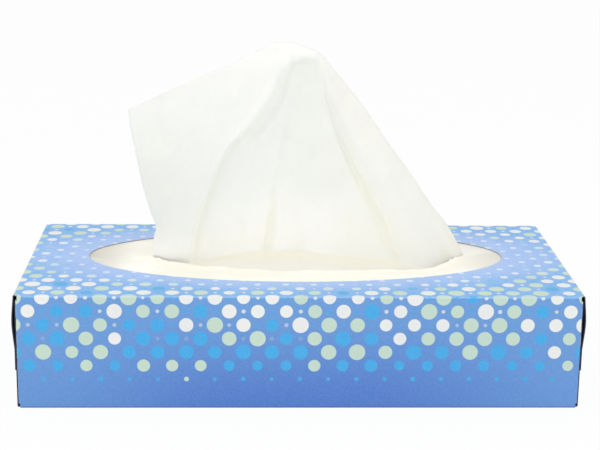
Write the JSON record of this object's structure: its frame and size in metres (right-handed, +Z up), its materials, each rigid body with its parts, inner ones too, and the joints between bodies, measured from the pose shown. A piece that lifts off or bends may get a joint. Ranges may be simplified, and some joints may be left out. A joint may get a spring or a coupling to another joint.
{
  "type": "tissue box",
  "caption": "Flat printed paperboard carton of facial tissues, with an oval opening, a slit film window and a tissue standing out of it.",
  "frame": {"origin": "middle of the carton's bottom face, which is the middle of the whole part's footprint", "axes": "+X along the carton, to the right seen from its front panel; +Y from the front panel to the back panel; +Z up"},
  "size_m": [0.234, 0.115, 0.143],
  "materials": {
    "printed_board": "varnished print, satin",
    "clear_film": "thin hazy film",
    "tissue_paper": "soft, matte"
  },
  "bodies": {
    "root": {"carton": "printed_board", "window_film": "clear_film", "tissue_stack": "tissue_paper", "popped_tissue": "tissue_paper"}
  },
  "joints": []
}
